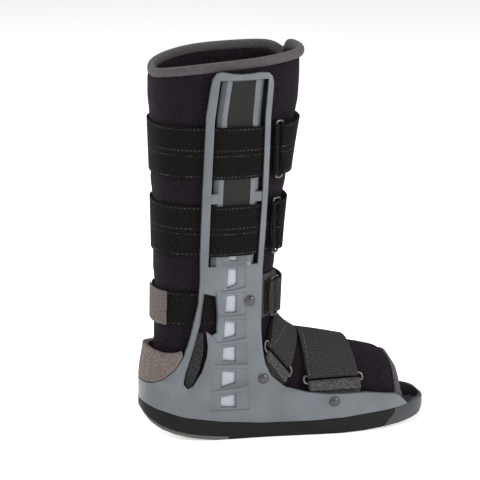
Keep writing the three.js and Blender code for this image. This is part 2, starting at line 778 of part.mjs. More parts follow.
// Heel cuff: a cup inside the heel wall whose upper part bulges out over the wall's edge
function heelCuff() {
  const inner = shellForm(shellWall + gap + cuffThickness);
  const top = CUFF_TOP.map(place);
  const side = across([
    ...top, [top[top.length - 1][0], atZ(cuffBottom)], [-halfLength - 20, atZ(cuffBottom)],
  ]);
  const flange = shellForm(shellWall + gap).subtract(inner).intersect(side);
  let bulge = skin.subtract(inner).intersect(side);
  [[0, 0], [0, 2 * gap], [-2 * gap, 0]].forEach(([along, up]) => {
    bulge = bulge.subtract(across(shellOutline.map(([x, z]) => [x + along, z + up])));
  });
  return flange.add(bulge);
}

add('heel_cuff', heelCuff(), cuffTaupe);

// Liner
const rimAt = (angle) => atZ(angle >= flapEdge ? RIM[0].rise : between(RIM, 'angle', 'rise', angle));
const flapDip = (angle) => (angle < flapEdge ? -flapStep * ease((angle - flapEdge + flapRun) / flapRun) : 0);
const TURN = [
  0, 12, 24, 36, 47, 58, 68, 79, 90, 101, 112, 122, 133, 144, 156, 168, 180, 192, 204, 216, 227, 238,
  248, 259, 270, 281, 292, 302, 313, 324, flapEdge - 0.8, flapEdge, 348,
];
const LEG_LEVELS = [0, 0.235, 0.3, 0.353, 0.41, 0.47, 0.54, 0.61, 0.69, 0.776, 0.86];

function legForm(stand, top, angles = TURN, levels = LEG_LEVELS) {
  const rings = levels.map((rise) => angles.map((angle) => legPoint(angle, atZ(rise), stand(angle))));
  rings.push(angles.map((angle) => legPoint(angle, top, stand(angle))));
  return solid(loft(rings));
}

const footHalf = (x, share) => (planHalf(x) - footRoom) * share;
const ARCH = [0, 6, 14, 24, 36, 50, 68, 90, 112, 130, 144, 156, 166, 174, 180];

// Half section of the foot of the liner as an arch over the shell's floor
function footSection(x) {
  const along = x / bootLength + 0.5;
  return {
    base: shellBottomAt(x) + shellFloor + gap,
    top: atZ(between(FOOT, 'along', 'top', along)),
    half: footHalf(x, between(FOOT, 'along', 'width', along)),
  };
}

const archPower = 2.6;

function footForm(depth, places, lastSection = 1) {
  const rings = places.map((along) => {
    const x = atX(along);
    const { base, top, half } = footSection(Math.min(x, atX(lastSection)));
    const [low, high, wide] = [base - 10, top - depth, half - depth];
    return ARCH.map((degrees) => {
      const angle = THREE.MathUtils.degToRad(degrees);
      const [cos, sin] = [Math.cos(angle), Math.sin(angle)];
      return [
        x,
        -wide * Math.sign(cos) * Math.abs(cos) ** (2 / archPower),
        degrees % 180 === 0 ? low : low + (high - low) * sin ** (2 / archPower),
      ];
    });
  });
  return solid(loft(rings));
}

const overFloor = over(floorLine(shellFloor + gap));
const overSole = over(floorLine(shellFloor + gap + linerSole));
const rimLow = (angle) => rimAt(angle) - bindingHeight;
const footPlaces = FOOT.map((row) => row.along);
const rimReach = 3 * linerWall;
const rimRoom = 0.8;
const overRim = solid(loft(TURN.map((angle) => [
  legPoint(angle, rimLow(angle) - rimRoom, linerWall),
  legPoint(angle, sky + linerWall, linerWall),
  legPoint(angle, sky + linerWall, -rimReach),
  legPoint(angle, rimLow(angle) - rimRoom, -rimReach),
]), true));
const linerOutside = legForm(flapDip, sky - gap).subtract(overRim)
  .add(footForm(0, footPlaces)).intersect(overFloor);
const toeMouth = 0.88;
const toeOpen = [...footPlaces.slice(0, 10), toeMouth, 0.95];
const innerTurn = TURN.filter((_, index) => index % 2 === 0);
const innerLevels = LEG_LEVELS.filter((_, index) => index % 2 === 0);
const linerInside = legForm(() => -linerWall, sky, innerTurn, innerLevels)
  .add(footForm(linerWall, toeOpen, toeMouth)).intersect(overSole);
const toeEdge = [[0.836, 0.22], [0.85, 0.19], [0.868, 0.155], [0.873, 0.12], [0.873, 0.04]].map(place);
const toeFront = (shift) => across([
  ...toeEdge.map(([x, z]) => [x + shift, z]), [2 * halfLength, atZ(0.04)], [2 * halfLength, atZ(0.22)],
]);
const linerBody = linerOutside.subtract(linerInside);

add('liner', linerBody.subtract(toeFront(-gap)), clothBlack);
add('toe_binding', linerBody.intersect(toeFront(0)), bindingGrey);

function legBinding() {
  const rings = TURN.map((angle) => {
    const [low, high] = [rimLow(angle), rimAt(angle)];
    const outer = flapDip(angle) + bindingProud;
    const inner = -linerWall - bindingProud;
    const corner = linerWall * 0.3;
    const section = [
      [low, outer], [high - corner, outer], [high, outer - corner],
      [high, inner + corner], [high - corner, inner], [low, inner],
    ];
    return section.map(([z, out]) => legPoint(angle, z, out));
  });
  return loft(rings, true);
}

add('leg_binding', legBinding(), bindingGrey);

// Rivets
const rivetProfile = [
  [0, -shellWall - gap], [rivetShaft / 2, -shellWall - gap], [rivetShaft / 2, 0], [rivetHead / 2, 0],
  [rivetHead * 0.36, rivetDome * 0.62], [0, rivetDome],
].map(([radius, height]) => new THREE.Vector2(radius, height));

RIVETS.forEach((centre, index) => {
  ['right', 'left'].forEach((side) => {
    const { x, y, z } = rivetAxis(centre);
    const way = side === 'right' ? -1 : 1;
    const head = new THREE.LatheGeometry(rivetProfile, rivetSides);
    const rivet = add(`rivet_${side}_${index + 1}`, head, rivetGrey);
    rivet.rotation.x = side === 'right' ? Math.PI : 0;
    rivet.position.set(x, way * (y + 2 * gap), z);
  });
});

// Ankle pads behind the rear windows
function anklePads() {
  const inside = legForm(() => clothGap, sky);
  const outside = legForm(() => clothGap + padThickness, sky);
  return outside.subtract(inside).intersect(across(ANKLE_PAD.map(place)));
}

addSides('ankle_pad', anklePads(), padGrey);

// A band of the given thickness: its path is a list of { at, out, shift } where at gives the angle
// at a height, out is the stand of its middle, and its edges lie at the given heights
function legBand(path, thickness, heights) {
  const middle = (heights[0] + heights[1]) / 2;
  const spot = ({ at, out }, z, more = 0) => legPoint(at(z), z, out + more);
  const rings = path.map((station, index) => {
    const before = path[Math.max(0, index - 1)];
    const after = path[Math.min(path.length - 1, index + 1)];
    const [from, to] = [spot(before, middle), spot(after, middle)];
    const tangent = new THREE.Vector2(to[0] - from[0], to[1] - from[1]).normalize();
    const normal = new THREE.Vector2(-tangent.y, tangent.x).multiplyScalar(thickness / 2);
    const edge = (z, way) => {
      const [x, y, height] = spot(station, z);
      return [x + way * normal.x, y + way * normal.y, height];
    };
    return [edge(heights[0], 1), edge(heights[1], 1), edge(heights[1], -1), edge(heights[0], -1)];
  });
  return loft(rings);
}

const layer = clothGap + webbing / 2;
const foldRadius = wireRadius + foldGap + webbing / 2;
const wireStand = layer + foldRadius;
const foldReach = foldRadius + webbing / 2;
const barGap = 2 * foldReach + 2 * gap;
const overBeam = beamTop + clothGap + webbing / 2;
const nextLayer = layer + webbing + gap;

// Stations round a bar at a place on the right side; way is 1 when the fold lies towards the heel
function foldStations(barX, way, outwards) {
  const turns = [0, 45, 90, 135, 180].map(THREE.MathUtils.degToRad);
  const stations = turns.map((turn) => ({
    at: (z) => angleAt(barX(z) - way * foldRadius * Math.sin(turn), z),
    out: wireStand - foldRadius * Math.cos(turn),
  }));
  return outwards ? stations : stations.reverse();
}

const degrees = (angle) => () => angle;
const farFront = 302;
const frontLift = 0.4;

// Route of a calf strap: out of its loop round the rear bar, under the front rail, over the beam,
// under the rear rail, round the calf and over the other beam, then back through the ring
function calfRoute(rearBar, frontBar, lapEnd) {
  const beamEdges = (z) => beamSection(z);
  const acrossBeam = (turned) => {
    const at = (pick) => (z) => {
      const angle = angleAt(pick(z), z);
      return turned ? 360 - angle : angle;
    };
    const stations = [
      { at: at((z) => uprightFrontAt(z) - frontRailWidth), out: layer },
      { at: at((z) => beamEdges(z).topFront + 1), out: overBeam },
      { at: at((z) => (2 * beamEdges(z).topFront + beamEdges(z).topRear) / 3), out: overBeam },
      { at: at((z) => (beamEdges(z).topFront + 2 * beamEdges(z).topRear) / 3), out: overBeam },
      { at: at((z) => beamEdges(z).topRear - 1), out: overBeam },
      { at: at((z) => uprightRearAt(z) + rearRailWidth), out: layer },
      { at: at((z) => uprightRearAt(z) + 1), out: layer },
    ];
    return turned ? stations.reverse() : stations;
  };
  const rearFold = foldStations(rearBar, -1, false);
  const frontFold = foldStations(frontBar, 1, true);
  const tail = { at: (z) => angleAt(rearBar(z) - 2, z), out: rearFold[0].out };
  const resting = (from, to) => TURN.filter((angle) => angle > from && angle < to)
    .map((angle) => ({ at: degrees(angle), out: layer }));
  const around = resting(121, 239);
  const foldFrom = (z) => 360 + angleAt(frontBar(z), z);
  const front = [0, 0.12, 0.24, 0.36, 0.48, 0.6, 0.72, 0.82, 0.91].map((share) => ({
    at: (z) => mix(farFront, foldFrom(z), share),
    out: layer + frontLift * ease(4 * share),
  }));
  const onward = frontFold.map(({ at, out }) => ({ at: (z) => 360 + at(z), out }));
  const lap = [-10, -22, -34, -46, -58, -70].map((angle, index) => ({
    at: (z) => 360 + angleAt(frontBar(z), z) + angle,
    out: mix(frontFold[4].out, nextLayer, ease((index + 1) / 3)),
  })).filter((_, index) => index <= lapEnd);
  return [
    tail, ...rearFold, ...acrossBeam(false), ...around, ...acrossBeam(true), ...front, ...onward, ...lap,
  ];
}

// A wire ring through the given corner points, each with its outward normal
function wireRing(corners) {
  const rings = [];
  const count = corners.length;
  const sides = 6;
  const middle = corners.reduce((sum, { point }) => sum.add(point), new THREE.Vector3()).divideScalar(count);
  corners.forEach(({ point, normal }, index) => {
    const before = corners[(index + count - 1) % count].point;
    const after = corners[(index + 1) % count].point;
    const first = point.clone().sub(before).normalize();
    const second = after.clone().sub(point).normalize();
    const tangent = first.clone().add(second).normalize();
    const side = tangent.clone().cross(normal).normalize();
    const up = side.clone().cross(tangent).normalize();
    const stretch = 1 / Math.max(0.6, Math.sqrt((1 + first.dot(second)) / 2));
    const ring = [];
    for (let turn = 0; turn < sides; turn += 1) {
      const angle = (2 * Math.PI * turn) / sides;
      const place3 = point.clone()
        .addScaledVector(up, wireRadius * Math.sin(angle))
        .addScaledVector(side, wireRadius * Math.cos(angle) * stretch);
      ring.push(place3.toArray());
    }
    rings.push(ring);
  });
  return loft(rings, true);
}

// Corner points of a rectangle with cut corners, from its half sizes; a bent one has a point more on
// each of its two wide bars
function ringCorners(halfWide, halfTall, corner, bent = false) {
  const bend = (height) => (bent ? [[0, height]] : []);
  return [
    [halfWide, -halfTall + corner], [halfWide, halfTall - corner],
    [halfWide - corner, halfTall], ...bend(halfTall), [-halfWide + corner, halfTall],
    [-halfWide, halfTall - corner], [-halfWide, -halfTall + corner],
    [-halfWide + corner, -halfTall], ...bend(-halfTall), [halfWide - corner, -halfTall],
  ];
}

// Calf straps and their rings
const CALF = [
  { name: 'upper', centre: 0.7576, lapEnd: 5 },
  { name: 'lower', centre: 0.5555, lapEnd: 4 },
];

CALF.forEach(({ name, centre, lapEnd }) => {
  const z = atZ(centre);
  const heights = [z - calfStrapWidth / 2, z + calfStrapWidth / 2];
  const ringTall = calfStrapWidth / 2 + ringEnd;
  const railEdge = uprightFrontAt(z + ringTall);
  const rearBar = () => railEdge + foldReach - webbing + 2 + clothGap;
  const frontBar = () => rearBar() + barGap;
  add(`calf_strap_${name}`, legBand(calfRoute(rearBar, frontBar, lapEnd), webbing, heights), strapBlack);
  const middle = (rearBar() + frontBar()) / 2;
  const corners = ringCorners(barGap / 2, ringTall, 2).map(([x, height]) => {
    const at = (stand) => legPoint(angleAt(middle + x, z + height), z + height, stand);
    const point = new THREE.Vector3(...at(wireStand));
    return { point, normal: point.clone().sub(new THREE.Vector3(...at(0))).normalize() };
  });
  add(`calf_ring_${name}`, wireRing(corners), wireGrey);
});

// Heel strap round the back of the ankle, seen through the rear windows, and its hook tab
const heelStrapHeights = [atZ(0.349) - heelStrapWidth / 2, atZ(0.349) + heelStrapWidth / 2];
const heelStrapEnd = (z) => angleAt(atX(0.24), z);
const heelRoute = [
  { at: heelStrapEnd, out: layer },
  ...TURN.filter((angle) => angle > 97 && angle < 263).map((angle) => ({ at: degrees(angle), out: layer })),
  { at: (z) => 360 - heelStrapEnd(z), out: layer },
];
add('heel_strap', legBand(heelRoute, webbing, heelStrapHeights), strapBlack);
const tabRoute = TURN.filter((angle) => angle > 139 && angle < 193).map((angle) => ({
  at: degrees(angle),
  out: clothGap + webbing + gap + tabThickness / 2,
}));
add('heel_tab', legBand(tabRoute, tabThickness, heelStrapHeights), tabGrey);

// Front ankle strap with its ring, the loop that holds the ring and the pad under them
const ankleZ = atZ(0.3655);
const ankleHeights = [ankleZ - ankleStrapWidth / 2, ankleZ + ankleStrapWidth / 2];
const ankleTall = ankleStrapWidth / 2 + ringEnd;
const anklePadStand = padThickness + clothGap;
const shellEdge = atX(0.402);
const ankleRear = () => shellEdge + foldReach + clothGap;
const ankleFront = () => ankleRear() + barGap;
const lifted = (stations) => stations.map(({ at, out }) => ({ at, out: out + anklePadStand }));
const ankleFrom = (z) => 360 - angleAt(shellEdge - ankleStrapWidth / 2, z);
const ankleTo = (z) => 360 + angleAt(ankleFront(z), z);
const ankleOver = [0, 0.09, 0.18, 0.28, 0.38, 0.48, 0.58, 0.68, 0.79, 0.9].map((share) => ({
  at: (z) => mix(ankleFrom(z), ankleTo(z), share),
  out: layer + anklePadStand * ease((share - 0.4) / 0.28),
}));
const ankleFold = foldStations(ankleFront, 1, true).map(({ at, out }) => ({ at: (z) => 360 + at(z), out }));
const ankleLap = [14, 28, 42, 56].map((angle, index) => ({
  at: (z) => 360 + angleAt(ankleFront(z), z) - angle,
  out: mix(ankleFold[4].out, nextLayer, ease((index + 1) / 3)),
}));
const ankleRoute = [
  ...ankleOver,
  ...lifted(ankleFold),
  ...lifted(ankleLap),
];
add('ankle_strap', legBand(ankleRoute, webbing, ankleHeights), strapCharcoal);

const ankleLoopFold = foldStations(ankleRear, -1, false);
const ankleLoop = [
  { at: (z) => angleAt(ankleRear(z) - 3, z), out: ankleLoopFold[0].out },
  ...ankleLoopFold,
  { at: (z) => angleAt(ankleRear(z) - 3, z), out: layer },
];
add('ankle_loop', legBand(lifted(ankleLoop), webbing, ankleHeights), strapCharcoal);

const anklePadHeights = [ankleZ - ankleTall - 1, ankleZ + ankleTall + ringEnd];
const anklePadEnd = 20;
const anklePadRoute = [0, 0.15, 0.3, 0.45, 0.6, 0.8, 1].map((share) => ({
  at: (z) => mix(angleAt(shellEdge - ankleStrapWidth / 2, z), anklePadEnd, share),
  out: clothGap + padThickness / 2,
}));
add('ankle_pad_front', legBand(anklePadRoute, padThickness, anklePadHeights), padGrey);

const ankleMiddle = (ankleRear() + ankleFront()) / 2;
add('ankle_ring', wireRing(ringCorners(barGap / 2, ankleTall, 2).map(([x, height]) => {
  const at = (stand) => legPoint(angleAt(ankleMiddle + x, ankleZ + height), ankleZ + height, stand);
  const point = new THREE.Vector3(...at(wireStand + anklePadStand));
  return { point, normal: point.clone().sub(new THREE.Vector3(...at(0))).normalize() };
})), wireBlack);

// The foot straps lie on the liner along fans of rays from a line inside it
function inLiner([x, y, z]) {
  const { centre, depth, width } = legSection(z);
  if (Math.abs((x - centre) / depth) ** legPower + Math.abs(y / width) ** legPower < 1) return true;
  const along = x / bootLength + 0.5;
  if (along < footPlaces[0] || along > footPlaces[footPlaces.length - 1]) return false;
  const { base, top, half } = footSection(x);
  const low = base - 10;
  return Math.abs(y / half) ** archPower + Math.abs((z - low) / (top - low)) ** archPower < 1;
}

// A ray of a fan: turn runs from the right side over the top, shift runs along the strap's width
function fanRay(fan, shift, turn) {
  const tilt = THREE.MathUtils.degToRad(fan.tilt);
  const angle = THREE.MathUtils.degToRad(turn);
  const low = Math.sin(THREE.MathUtils.degToRad(fan.ringTurn));
  const slide = shift + (fan.drift * (Math.sin(angle) - low)) / (1 - low);
  const [cos, sin] = [Math.cos(tilt), Math.sin(tilt)];
  const [x, z] = place(fan.origin);
  return {
    from: [x + cos * slide, 0, z - sin * slide],
    way: [sin * Math.sin(angle), -Math.cos(angle), cos * Math.sin(angle)],
  };
}

function fanPoint(fan, shift, turn, stand) {
  const { from, way } = fanRay(fan, shift, turn);
  const at = (reach) => from.map((value, axis) => value + way[axis] * reach);
  const step = 3;
  let reach = 0;
  for (let probe = 0; probe < legDepth; probe += step) {
    if (inLiner(at(probe))) reach = probe;
  }
  let beyond = reach + step;
  for (let halving = 0; halving < 12; halving += 1) {
    const half = (reach + beyond) / 2;
    if (inLiner(at(half))) reach = half;
    else beyond = half;
  }
  return new THREE.Vector3(...at(reach + stand));
}

// The turn at a place of a fan that lies a length along its surface from the given turn
function fanTurn(fan, shift, turn, along) {
  if (along === 0) return turn;
  const from = new THREE.Vector3(...fanRay(fan, shift, turn).from);
  return turn + THREE.MathUtils.radToDeg(along / fanPoint(fan, shift, turn, wireStand).distanceTo(from));
}

// Where a station lies at a shift: at its turn, or on a circle round a bar of the ring
function fanSpot(fan, shift, { turn, bar = 0, out, radius = 0, lean = 0, way = 1 }) {
  const at = fanTurn(fan, shift, turn, bar);
  const middle = fanPoint(fan, shift, at, out);
  const [tilt, angle] = [fan.tilt, at].map(THREE.MathUtils.degToRad);
  const outwards = new THREE.Vector3(...fanRay(fan, shift, at).way);
  const upwards = new THREE.Vector3(
    Math.sin(tilt) * Math.cos(angle), Math.sin(angle), Math.cos(tilt) * Math.cos(angle),
  );
  return middle.addScaledVector(outwards, -radius * Math.cos(lean))
    .addScaledVector(upwards, -way * radius * Math.sin(lean));
}

function fanBand(fan, path, thickness, width) {
  const rings = path.map((station, index) => {
    const before = path[Math.max(0, index - 1)];
    const after = path[Math.min(path.length - 1, index + 1)];
    const tangent = fanSpot(fan, 0, after).sub(fanSpot(fan, 0, before));
    const tilt = THREE.MathUtils.degToRad(fan.tilt);
    const widthWay = new THREE.Vector3(Math.cos(tilt), 0, -Math.sin(tilt));
    const normal = tangent.cross(widthWay).normalize().multiplyScalar(thickness / 2);
    const edge = (side, way) => {
      const spot = fanSpot(fan, (side * width) / 2, station);
      return spot.addScaledVector(normal, way).toArray();
    };
    return [edge(-1, 1), edge(0, 1), edge(1, 1), edge(1, -1), edge(0, -1), edge(-1, -1)];
  });
  return loft(rings);
}

// Stations round a bar of a foot ring, which lies a length from the ring's middle; way is 1 when the
// fold lies below the bar
function fanFold(turn, bar, way, radius) {
  return [0, 45, 90, 135, 180].map(THREE.MathUtils.degToRad)
    .map((lean) => ({ turn, bar, out: wireStand, radius, lean, way }));
}

const FOOT_STRAPS = [
  {
    name: 'instep', width: instepStrapWidth, origin: [0.418, 0.18], tilt: 54, drift: -20, ringTurn: 22,
    farTurn: 172, lapTurn: 118, padWidth: instepStrapWidth + 1, padEnd: -12, padTail: 8,
  },
  {
    name: 'forefoot', width: forefootStrapWidth, origin: [0.646, 0.09], tilt: 0, drift: -4, ringTurn: 27,
    farTurn: 184, lapTurn: 128, padWidth: forefootStrapWidth + 1, padEnd: -4, padTail: 9,
  },
];

const footLift = 0.4;
const padFoldRadius = wireRadius + foldGap + padThickness / 2;

FOOT_STRAPS.forEach((fan) => {
  const { name, width, ringTurn } = fan;
  const fold = fanFold(ringTurn, barGap / 2, 1, foldRadius);
  const start = fanTurn(fan, 0, ringTurn, barGap / 2);
  const inner = [];
  for (let turn = fan.farTurn; turn > start + 4; turn -= 9) inner.push({ turn, out: layer + footLift });
  const lap = [];
  for (let turn = start + 12; turn <= fan.lapTurn; turn += 12) {
    lap.push({ turn, out: mix(wireStand + foldRadius, nextLayer + footLift, ease((turn - start) / 30)) });
  }
  add(`${name}_strap`, fanBand(fan, [...inner, ...fold, ...lap], webbing, width), strapCharcoal);
  const padFold = fanFold(ringTurn, -barGap / 2, -1, padFoldRadius);
  const low = fanTurn(fan, 0, ringTurn, -barGap / 2);
  const padRest = clothGap + padThickness / 2;
  const padInner = [fan.padEnd, (fan.padEnd + low) / 2].map((turn) => ({ turn, out: padRest }));
  const padOuter = [
    { turn: low - fan.padTail / 2, out: wireStand + padFoldRadius },
    { turn: low - fan.padTail, out: wireStand + padFoldRadius - padThickness / 2 },
  ];
  const padPath = [...padInner, ...padFold, ...padOuter];
  add(`${name}_pad`, fanBand(fan, padPath, padThickness, fan.padWidth), padGrey);
  const corners = ringCorners(width / 2 + footRingEnd, barGap / 2, 2, true).map(([shift, rise]) => {
    const turn = fanTurn(fan, shift, ringTurn, rise);
    const point = fanPoint(fan, shift, turn, wireStand);
    return { point, normal: new THREE.Vector3(...fanRay(fan, shift, turn).way) };
  });
  add(`${name}_ring`, wireRing(corners), wireGrey);
});

export default boot;
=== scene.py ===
# %% [markdown]
# A tall medical walking boot: a slate plastic shell with two uprights, a black padded liner, and
# black and charcoal straps that close through wire rings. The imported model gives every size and
# place, and this lesson dresses it. Loading it first means that no later piece needs any fitting.

# %% Load the frame
import math

import bmesh
import bpy
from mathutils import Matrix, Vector, noise


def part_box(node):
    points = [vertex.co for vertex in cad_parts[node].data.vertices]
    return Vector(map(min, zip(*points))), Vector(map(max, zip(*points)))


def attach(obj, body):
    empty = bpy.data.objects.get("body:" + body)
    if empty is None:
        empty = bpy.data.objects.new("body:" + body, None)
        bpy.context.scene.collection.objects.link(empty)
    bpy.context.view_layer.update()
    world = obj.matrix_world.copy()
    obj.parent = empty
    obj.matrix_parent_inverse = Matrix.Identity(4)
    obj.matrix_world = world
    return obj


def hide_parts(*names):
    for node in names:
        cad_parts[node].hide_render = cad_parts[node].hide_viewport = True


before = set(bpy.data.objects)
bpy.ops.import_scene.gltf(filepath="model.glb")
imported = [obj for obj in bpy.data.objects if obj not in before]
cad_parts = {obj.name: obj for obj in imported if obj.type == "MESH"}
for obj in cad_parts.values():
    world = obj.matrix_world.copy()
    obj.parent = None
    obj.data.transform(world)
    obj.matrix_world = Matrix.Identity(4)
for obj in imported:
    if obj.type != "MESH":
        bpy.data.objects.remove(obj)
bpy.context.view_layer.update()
MM = 0.001

# %% [markdown]
# The photograph was taken from a little behind the boot's side and a little above it, with a long
# lens. A near camera with a short lens would spread the uprights, so the camera stands far away,
# where a long lens gives the same nearly parallel lines.

# %% Camera
camera_place = Vector((-611.9, -2447.0, 883.9)) * MM
looked_at = Vector((-47.0, 0.0, 211.0)) * MM
bpy.ops.object.camera_add(location=camera_place)
camera = bpy.context.object
camera.rotation_euler = (looked_at - camera_place).to_track_quat("-Z", "Y").to_euler()
camera.data.sensor_width = 36
camera.data.lens = 179.7
bpy.context.scene.camera = camera
print("camera", tuple(camera.location))

# %% [markdown]
# A studio table is pale paper under soft light. A curved sweep would do as well, but a wide flat
# floor leaves nothing to fit. It lies just below the sole and glows a little, so that it comes out
# nearly white without lamps that would wash out the black cloth.

# %% Floor
FLOOR_SIZE = 12
FLOOR_HEIGHT = -0.6 * MM
bpy.ops.mesh.primitive_grid_add(
    x_subdivisions=4, y_subdivisions=4, size=FLOOR_SIZE, location=(0, 0, FLOOR_HEIGHT))
floor = bpy.context.object
floor.name = "floor"
paper = bpy.data.materials.new("studio_paper")
paper.use_nodes = True
paper_shader = paper.node_tree.nodes["Principled BSDF"]
paper_shader.inputs["Base Color"].default_value = (0.93, 0.93, 0.93, 1)
paper_shader.inputs["Roughness"].default_value = 0.9
paper_shader.inputs["Specular IOR Level"].default_value = 0.1
paper_shader.inputs["Emission Color"].default_value = (1, 1, 1, 1)
paper_shader.inputs["Emission Strength"].default_value = 0.5
floor.data.materials.append(paper)
print("floor", FLOOR_SIZE, "m wide")

# %% [markdown]
# The background is white, but a white world would light the boot too strongly from all sides. So
# the world looks white and lights the boot only faintly, enough to keep the black cloth readable.

# %% World
WORLD_LIGHT = 0.26
WORLD_SEEN = 1.0
world = bpy.data.worlds.new("studio")
world.use_nodes = True
sky = world.node_tree.nodes["Background"]
sky.inputs["Color"].default_value = (1, 1, 1, 1)
seen = world.node_tree.nodes.new("ShaderNodeLightPath")
brightness = world.node_tree.nodes.new("ShaderNodeMapRange")
brightness.inputs["To Min"].default_value = WORLD_LIGHT
brightness.inputs["To Max"].default_value = WORLD_SEEN
world.node_tree.links.new(seen.outputs["Is Camera Ray"], brightness.inputs["Value"])
world.node_tree.links.new(brightness.outputs[0], sky.inputs["Strength"])
bpy.context.scene.world = world
bpy.context.scene.view_settings.view_transform = "Standard"
print("world lights with", WORLD_LIGHT)

# %% [markdown]
# Large area lamps give the broad soft highlights that the plastic has in the photograph. Two stand
# on the photographed side, one hangs above, and one behind the heel lights the rear edges of the
# rails. Small lamps would be quicker to place, but they draw hard spots on the rivets.

# %% Lamps
LAMP_AIM = Vector((-0.03, 0, 0.2))


def lamp(name, place, size, power):
    bpy.ops.object.light_add(type="AREA", location=place)
    made = bpy.context.object
    made.name = name
    made.rotation_euler = (LAMP_AIM - Vector(place)).to_track_quat("-Z", "Y").to_euler()
    made.data.size = size
    made.data.energy = power


lamp("key_lamp", place=(-1.3, -1.6, 1.6), size=1.0, power=19)
lamp("side_lamp", place=(1.3, -1.6, 1.1), size=0.9, power=35)
lamp("top_lamp", place=(0.1, 0.4, 2.2), size=1.2, power=26)
lamp("rim_lamp", place=(-1.9, 1.0, 1.1), size=0.8, power=30)

# %% [markdown]
# Materials are built from a few sockets over and over, so short helpers keep each recipe readable.
# The first ones make the plain shader, join sockets and do sums. What is the same all over a
# surface is set on the shader itself, and nodes are kept for what changes from place to place.


# %% Helpers for a plain surface
def surface(name, colour, roughness, metallic=0.0, sheen=0.0, coat=0.0, specular=0.5):
    made = bpy.data.materials.new(name)
    made.use_nodes = True
    shader = made.node_tree.nodes["Principled BSDF"]
    shader.inputs["Base Color"].default_value = (*colour, 1)
    shader.inputs["Roughness"].default_value = roughness
    shader.inputs["Metallic"].default_value = metallic
    shader.inputs["Specular IOR Level"].default_value = specular
    if sheen:
        shader.inputs["Sheen Weight"].default_value = sheen
        shader.inputs["Sheen Roughness"].default_value = 0.5
    if coat:
        shader.inputs["Coat Weight"].default_value = coat
    return made


def link(made, source, target):
    made.node_tree.links.new(source, target)


def shader_of(made):
    return made.node_tree.nodes["Principled BSDF"]


def calculate(made, operation, *terms, clamp=False):
    """One sum, whose terms are numbers or sockets."""
    step = made.node_tree.nodes.new("ShaderNodeMath")
    step.operation = operation
    step.use_clamp = clamp
    for index, term in enumerate(terms):
        if isinstance(term, (int, float)):
            step.inputs[index].default_value = term
        else:
            link(made, term, step.inputs[index])
    return step.outputs[0]


# %% [markdown]
# Patterns need a place to start from. Moulded and padded pieces read the place in the object, and
# flat cloth reads its own map, so that the weave follows the strap. From there come grains of a
# given size and even ridges.


# %% Helpers for patterns
def place_in(made, of_cloth=False):
    """The place in the object, or along and across the cloth, whole and as three sockets."""
    if of_cloth:
        source = made.node_tree.nodes.new("ShaderNodeUVMap")
        source.uv_map = "cloth"
        vector = source.outputs[0]
    else:
        source = made.node_tree.nodes.new("ShaderNodeTexCoord")
        vector = source.outputs["Object"]
    parts = made.node_tree.nodes.new("ShaderNodeSeparateXYZ")
    link(made, vector, parts.inputs[0])
    return vector, parts.outputs


def noise_of(made, vector, size, detail=4.0, roughness=0.6):
    """Noise whose grains are about the given size in metres."""
    turn = made.node_tree.nodes.new("ShaderNodeMapping")
    turn.inputs["Scale"].default_value = (1 / size, 1 / size, 1 / size)
    grains = made.node_tree.nodes.new("ShaderNodeTexNoise")
    grains.inputs["Scale"].default_value = 1.0
    grains.inputs["Detail"].default_value = detail
    grains.inputs["Roughness"].default_value = roughness
    link(made, vector, turn.inputs["Vector"])
    link(made, turn.outputs[0], grains.inputs["Vector"])
    return grains.outputs["Fac"]


def ridges(made, coordinate, period):
    """A wave from 0 to 1 with the given period in metres."""
    wave = calculate(made, "SINE", calculate(made, "MULTIPLY", coordinate, 2 * math.pi / period))
    return calculate(made, "MULTIPLY_ADD", wave, 0.5, 0.5)


# %% [markdown]
# A pattern shows as colour, as gloss or as relief. Relief could be real faces, but grain and weave
# are far finer than any face here, so they are bumps, each laid over the one before.


# %% Helpers that use a pattern
def ramp(made, factor, stops):
    colours = made.node_tree.nodes.new("ShaderNodeValToRGB")
    elements = colours.color_ramp.elements
    while len(elements) < len(stops):
        elements.new(0.5)
    for element, (position, colour) in zip(elements, stops):
        element.position = position
        element.color = (*colour, 1)
    link(made, factor, colours.inputs[0])
    return colours.outputs[0]


def tinted(made, factor, stops):
    link(made, ramp(made, factor, stops), shader_of(made).inputs["Base Color"])


def roughened(made, factor, low, high):
    varied = ramp(made, factor, ((0.3, (low,) * 3), (0.7, (high,) * 3)))
    link(made, varied, shader_of(made).inputs["Roughness"])


def bump(made, height, depth, strength=1.0):
    """Adds a bump of the given depth in metres over those that the material has already."""
    relief = made.node_tree.nodes.new("ShaderNodeBump")
    relief.inputs["Strength"].default_value = strength
    relief.inputs["Distance"].default_value = depth
    link(made, height, relief.inputs["Height"])
    normal = shader_of(made).inputs["Normal"]
    if normal.links:
        link(made, normal.links[0].from_socket, relief.inputs["Normal"])
    link(made, relief.outputs[0], normal)


def shades(colour, low, high):
    return [tuple(min(1.0, channel * factor) for channel in colour) for factor in (low, high)]


# %% [markdown]
# Injection moulded plastic has a faint spark-eroded grain and slow changes of gloss, and rubber is
# rougher and a little dusty. One even colour would look like paint. Noise at three sizes gives the
# drift in colour, the drift in gloss and the grain, and both plastic and rubber can share it.

# %% Moulded plastics and rubbers
COLOUR_DRIFT = 45 * MM
GLOSS_DRIFT = 20 * MM


def moulded(name, colour, roughness, grain=0.6 * MM, depth=0.04 * MM, specular=0.5):
    made = surface(name, colour, roughness, specular=specular)
    vector, _ = place_in(made)
    dark, light = shades(colour, low=0.86, high=1.14)
    tinted(made, noise_of(made, vector, COLOUR_DRIFT, detail=5), ((0.35, dark), (0.65, light)))
    roughened(made, noise_of(made, vector, GLOSS_DRIFT), low=roughness - 0.07, high=roughness + 0.09)
    bump(made, noise_of(made, vector, grain, detail=3), depth, strength=0.6)
    return made


